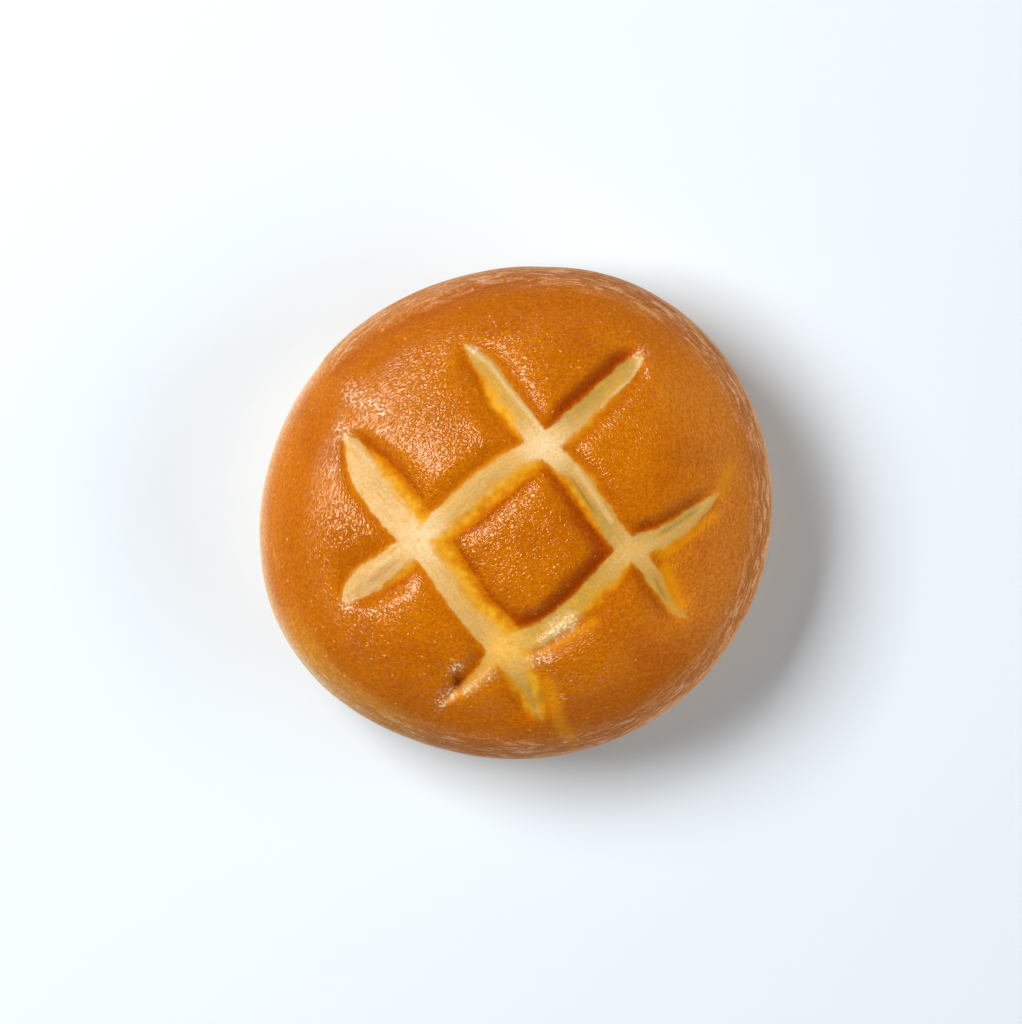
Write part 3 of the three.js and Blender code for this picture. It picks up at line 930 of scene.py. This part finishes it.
class Crust(Graph):
    """The crust's node tree, with the fields, places and noises that its parts share."""

    def __init__(self, material):
        super().__init__(material)
        self.fields = {}
        where = self.node("ShaderNodeTexCoord").outputs["Object"]
        place = self.node("ShaderNodeSeparateXYZ", {0: where})
        self.x, self.y = place.outputs[0], place.outputs[1]
        flat = self.node("ShaderNodeCombineXYZ", {"X": self.x, "Y": self.y})
        outward = self.node("ShaderNodeVectorMath", {0: flat.outputs[0]}, operation="NORMALIZE")
        facing = self.node("ShaderNodeSeparateXYZ", {0: outward.outputs[0]})
        self.facing = {"x": facing.outputs[0], "y": facing.outputs[1]}
        self.noises = {name: self.noise(where, *numbers) for name, numbers in NOISES.items()}
        for name, (around, down, *numbers) in SKIN_NOISES.items():
            self.noises[name] = self.noise(self.skin(around, down), 1.0, *numbers)

        ragged = self.waver("waver", *DEPTH_WAVER, 0.25)
        self.depth = self.math("ADD", self.field("inward"), ragged)
        brushed = self.math("ADD", self.x, self.waver("mottle", *WASH_WAVER))
        self.unwashed = self.ramp(brushed, *WASH_END)
        self.browned = self.browning()
        self.fibrous = self.math("MAXIMUM", self.around("fibres_right"),
                                 self.around("fibres_front"))
        self.fibres = self.times(self.down("fibres"), self.fibrous)

    def field(self, name):
        """A field of the mesh."""
        if name not in self.fields:
            made = self.node("ShaderNodeAttribute", attribute_name=name)
            self.fields[name] = made.outputs["Fac"]
        return self.fields[name]

    def skin(self, around, down):
        """Places that run round the bun and down its skin."""
        ring = SKIN_RING / around
        made = self.node("ShaderNodeCombineXYZ", {
            "X": self.times(self.facing["x"], ring),
            "Y": self.times(self.facing["y"], ring),
            "Z": self.times(self.field("arc"), 1 / down),
        })
        return made.outputs[0]

    def waver(self, name, low, high, start=0.3):
        """The middle of a noise's values, spread between two others."""
        return self.ramp(self.noises[name], start, 1 - start, low, high)

    def down(self, name, angle=None):
        """A step down the bun's side."""
        low, high, *ends = DOWN_STEPS[name]
        if angle is None:
            angle = self.field("side")
        return self.ramp(angle, math.radians(low), math.radians(high), *ends)

    def around(self, name):
        """A step round the bun."""
        axis, *numbers = ROUND_STEPS[name]
        return self.ramp(self.facing[axis], *numbers)

    def browning(self):
        """How browned the crust is beside a cut."""
        wall, bank = self.field("wall"), self.field("bank")
        ragged = self.waver("ragged", *BROWN_RAGGED, 0.25)
        away = self.math("ADD", self.field("edge"), ragged)
        past_wall = self.math("SUBTRACT", away, self.ramp(wall, *BROAD_WALL, *BROWN_START))
        reached = self.math("DIVIDE", away, self.ramp(bank, *BROWN_REACH))
        return self.times(
            self.ramp(reached, 1.0, 0.15),
            self.ramp(past_wall, -0.5, 0.2),
            self.field("run"),
            self.rest(self.field("unbrowned")),
            self.ramp(bank, *BROWN_SHARE),
        )

    def speckled(self, tone, share, name, *channels):
        """A tone that a noise lights and dims, each channel by a step of its own."""
        ramps = {k: self.ramp(self.noises[name], *ramp) for k, ramp in enumerate(channels)}
        tint = self.node("ShaderNodeCombineColor", ramps).outputs[0]
        return self.lay(tone, tint, share, blend="MULTIPLY")

    def crust_tone(self):
        """The colour of the baked skin."""
        fibre = self.noises["fibre"]
        wavy = self.math("ADD", self.field("side"), self.waver("mottle", *STRIP_WAVER))
        lower_left = self.times(self.around("left"), self.around("front"))
        behind = self.field("behind_fold")
        layers = [
            (CRUST_DARK, self.ramp(self.noises["mottle"], 0.4, 0.75)),
            (CRUST_EDGE, self.browned),
            (GLOW, self.field("glow")),
            (CRUST_DARK, self.field("unglazed"), 0.6),
            # Painted paler where the wash thins: partly bare crust, partly painted light on the
            # right side.
            (CRUST_PALE, self.unwashed, self.down("unwashed"),
             self.ramp(self.y, *BARE_AND_LIT_PALENESS)),
            (CRUST_DARK, self.down("ring"), self.down("ring_end"), self.around("ring")),
            (RIM_FIBRE, self.fibres, self.ramp(fibre, 0.56, 0.40, 0.15, 0.75)),
            (RIM_PALE, self.fibres, self.ramp(fibre, 0.48, 0.63, 0.1, 0.8)),
            # The pale strip at the rim's edge is partly less browned dough and partly painted
            # light, most on the right and front.
            (CRUST_PALE, self.down("strip", wavy), self.ramp(self.fibrous, 0.15, 1.0, 0.6, 0.9)),
            # Toward the lower left the rim is paler and more golden, and at the far left its
            # thin edge gets painted light, as if the window shone through it.
            (GOLD, self.down("warm"), self.down("warm_end"), lower_left),
            (EDGE_PAINTED_LIGHT, self.down("thin"), self.around("far_left"),
             self.ramp(lower_left, 0.0, 1.0, 1.0, 1.3)),
            (TRAY_BROWN, self.down("tray", wavy)),
            (TAN, behind, 0.65),
            (RIM_PALE, behind, self.ramp(fibre, 0.48, 0.64, 0.0, 0.6)),
            (CRUST_EDGE, self.field("in_fold"), 0.4),
            (CRUST_DARK, self.field("before_fold"), 0.55),
        ]
        tone = self.lay_all(CRUST, layers)
        # The speckle is partly grain and partly painted glints.
        return self.speckled(tone, self.down("speckles"), "speckle", *CRUST_SPECKLE)

    def crumb_tone(self):
        """The colour of the crumb in the floors of the cuts."""
        cross = self.field("cross")
        track = self.node("ShaderNodeCombineXYZ", {
            "X": self.times(self.field("grain_along"), STREAK_ALONG),
            "Y": self.times(self.field("grain_across"), STREAK_ACROSS),
        })
        streaks = self.noise(track.outputs[0], *STREAKS)
        layers = [
            (CRUMB, self.field("pale")),
            # Painted shade: the crumb is greyer below banks on the window's side.
            (CRUMB_PAINTED_SHADE, self.field("shade"), 0.8),
            (CRUMB_PALE, cross, 0.9),
            (CRUMB_WARM, self.field("cross_golden"), 0.9),
            (CRUMB_GOLD, self.ramp(streaks, 0.45, 0.75, 0.0, 0.5), self.ramp(cross, 0.5, 0.1)),
            (GOLD, self.ramp(self.noises["pores"], 0.5, 0.75, 0.0, 0.4)),
            (GOLD, self.ramp(self.noises["patches"], 0.5, 0.7, 0.0, 0.3)),
            # The crests of the raised folds are painted paler: partly pale crumb, partly a
            # painted highlight.
            (CRUMB_PALE, self.field("ridge"), 0.45),
        ]
        return self.speckled(self.lay_all(CRUMB_GOLD, layers), 1.0, "grain", *CRUMB_GRAIN)

    def tone(self):
        """The colour from the crust down the wall of a cut to the crumb in its floor."""
        depth, wall, flake_and_glint = self.depth, self.field("wall"), self.field("flake_and_glint")
        golden = self.times(self.ramp(wall, *BROAD_WALL, 0.12, 1.0),
                            self.ramp(self.noises["ragged"], 0.38, 0.6, 0.6, 1.0))
        in_floor = self.times(depth, self.ramp(wall, 1.5, 2.8, 1.8, 1.0))
        hollow = self.math("MAXIMUM", self.field("crevice"), self.field("dimple"))
        layers = [
            (AMBER, self.ramp(depth, -0.45, 0.0), golden),
            (GOLD, self.ramp(depth, -0.2, 0.4), golden),
            (self.crumb_tone(), self.ramp(in_floor, 0.35, 1.15)),
            (GLOW, self.field("glow"), 0.75),
            # Painted shade in the thin folds of the floors.
            (PAINTED_CREASE_SHADE, self.field("crease_shade"), 0.75),
            # Painted shade in the crevice and the dimple.
            (PAINTED_HOLLOW_SHADE, hollow, 0.45),
            (LIP, flake_and_glint, self.ramp(depth, -0.6, 0.4, 0.1, 0.6)),
            # Painted glints: pale flecks on the flaked streaks.
            (PAINTED_FLAKE_GLINT, self.ramp(self.noises["speckle"], 0.52, 0.62), flake_and_glint),
            # Painted glints: sparse bright specks over the glazed crust.
            (PAINTED_GLINT, self.ramp(self.noises["glints"], 0.68, 0.74, 0.0, 0.6),
             self.rest(self.unwashed), self.ramp(depth, -0.3, -1.0)),
        ]
        return self.lay_all(self.crust_tone(), layers)

    def bump(self):
        """Fine relief: folded crinkles and orange peel on the crust, fibres at the rim."""
        def creased(name, height):
            from_middle = self.math("SUBTRACT", self.noises[name], 0.5)
            return self.times(self.math("ABSOLUTE", from_middle), height)

        off_top = self.ramp(self.field("arc"), TOP_REACH - TOP_FADE, TOP_REACH)
        folded = self.math("ADD", self.times(creased("folds", FOLDS_HEIGHT), off_top),
                           self.times(creased("crumple", CRUMPLE_HEIGHT), self.rest(off_top)))
        folded_share, peel_share = RELIEF_SHARES
        relief = self.math("ADD", self.times(folded, folded_share),
                           self.times(self.noises["peel"], peel_share))
        on_crust = self.math("MAXIMUM", self.ramp(self.depth, 0.2, -0.4, 0.2, 1.0),
                             self.field("flake_and_glint"))
        height = self.math("ADD", self.times(relief, on_crust),
                           self.times(self.noises["fibre"], self.fibres))
        inputs = {"Height": height, "Strength": 1.0, "Distance": BUMP_DEPTH}
        return self.node("ShaderNodeBump", inputs).outputs[0]

    def gloss(self):
        """How thick the shining egg wash is."""
        gloss = self.times(
            self.ramp(self.depth, -1.0, -0.3, 1.0, 0.0),
            self.ramp(self.browned, 0.1, 0.8, 1.0, 0.4),
            self.ramp(self.noises["patchy"], 0.35, 0.6, 0.6, 1.0),
            self.down("washed"),
            self.rest(self.unwashed),
            self.ramp(self.field("lip"), 0.08, 0.4, 1.0, 0.2),
            self.rest(self.field("unglazed")),
        )
        return self.math("MAXIMUM", gloss, self.times(self.field("flake_and_glint"), 0.6))


def crust_material():
    material = bpy.data.materials.new("crust")
    crust = Crust(material)
    bump, gloss = crust.bump(), crust.gloss()
    shader = crust.node("ShaderNodeBsdfPrincipled", {
        "Base Color": crust.tone(),
        "Roughness": crust.ramp(gloss, 0.0, 1.0, 0.6, 0.08),
        "IOR": 1.36,
        "Specular IOR Level": 0.32,
        "Specular Tint": SHINE_TINT,
        "Coat Weight": gloss,
        "Coat Roughness": 0.05,
        "Coat IOR": 1.46,
        "Coat Normal": bump,
        "Normal": bump,
        "Subsurface Weight": 0.08,
        "Subsurface Radius": (0.0012, 0.0006, 0.00025),
        "Subsurface Scale": 1.0,
    })
    crust.node("ShaderNodeOutputMaterial", {"Surface": shader.outputs[0]})
    return material


bun.data.materials.append(crust_material())
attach(bun, "root")
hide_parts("bun")

# ---------------------------------------------------------------- floor, light and camera

HALF_FLOOR = 3.0
FLOOR_TINT = (0.81, 0.90, 1.0, 1.0)
FLOOR_ROUGHNESS = 0.6


def make_floor():
    """A pale, matte floor."""
    ends = (-HALF_FLOOR, HALF_FLOOR)
    mesh = bpy.data.meshes.new("floor")
    mesh.from_pydata([(x, y, 0) for y in ends for x in ends], [], [(0, 1, 3, 2)])
    material = bpy.data.materials.new("floor")
    graph = Graph(material)
    shader = graph.node("ShaderNodeBsdfPrincipled",
                        {"Base Color": FLOOR_TINT, "Roughness": FLOOR_ROUGHNESS})
    graph.node("ShaderNodeOutputMaterial", {"Surface": shader.outputs[0]})
    mesh.materials.append(material)
    return placed("floor", mesh)


floor = make_floor()

# The studio: pale walls round about, and a dark ceiling above the camera.
WALL_LIGHT = 0.07
CEILING_LIGHT = 0.025
WALL_TOP = 0.3
CEILING_START = 0.75
STUDIO_TINT = (1.0, 0.98, 0.96, 1.0)
world = bpy.data.worlds.new("studio")
studio = Graph(world)
sky = studio.node("ShaderNodeTexCoord").outputs["Generated"]
sky_height = studio.node("ShaderNodeSeparateXYZ", {0: sky}).outputs["Z"]
backdrop = studio.node("ShaderNodeBackground", {
    "Color": STUDIO_TINT,
    "Strength": studio.ramp(sky_height, WALL_TOP, CEILING_START, WALL_LIGHT, CEILING_LIGHT),
})
studio.node("ShaderNodeOutputWorld", {"Surface": backdrop.outputs[0]})
bpy.context.scene.world = world

# Soft lights: bearing and rise in degrees, distance, size and watts, and whether the
# gloss of the crust shows them.
LIGHT_TINT = (1.0, 0.98, 0.94)
LIGHTS = {
    "window": (WINDOW_BEARING, 51, 1.2, (0.8, 0.55), 16.7, True),
    "wall": (-10, 30, 1.5, (1.6, 1.0), 14.0, False),
}


def soft_light(name, bearing, rise, distance, size, watts, mirrored):
    """A rectangular light, turned to the bun."""
    data = bpy.data.lights.new(name, "AREA")
    data.shape = "RECTANGLE"
    data.size, data.size_y = size
    data.energy = watts
    data.color = LIGHT_TINT
    lamp = placed(name, data)
    turn, lift = math.radians(bearing), math.radians(rise)
    lamp.location = (
        distance * math.cos(lift) * math.cos(turn),
        distance * math.cos(lift) * math.sin(turn),
        distance * math.sin(lift),
    )
    lamp.rotation_euler = (math.radians(90) - lift, 0, turn + math.radians(90))
    lamp.visible_glossy = mirrored


for light_name, numbers in LIGHTS.items():
    soft_light(light_name, *numbers)

# The camera looks straight down. The picture is 1022 pixels wide and shows 0.214 mm in a
# pixel at the bun's widest ring, whose middle is a little right of and below its own.
PICTURE_WIDTH = 1022
MM_PER_PIXEL = 0.214
BUN_MIDDLE_RIGHT = 4.0
BUN_MIDDLE_DOWN = 1.0
CAMERA_HEIGHT = 4.0
CAMERA_REACH = 10.0
SENSOR = 36.0
camera_data = bpy.data.cameras.new("camera")
camera_data.sensor_fit = "HORIZONTAL"
camera_data.sensor_width = SENSOR
picture_span = PICTURE_WIDTH * MM_PER_PIXEL * METRES
camera_data.lens = SENSOR * (CAMERA_HEIGHT - WIDEST_AT * METRES) / picture_span
camera_data.clip_end = CAMERA_REACH
camera = placed("camera", camera_data)
camera.location = (
    (-BUN_MIDDLE_RIGHT * MM_PER_PIXEL - shift[0]) * METRES,
    (BUN_MIDDLE_DOWN * MM_PER_PIXEL - shift[1]) * METRES,
    CAMERA_HEIGHT,
)
bpy.context.scene.camera = camera
bpy.context.scene.view_settings.view_transform = "Standard"
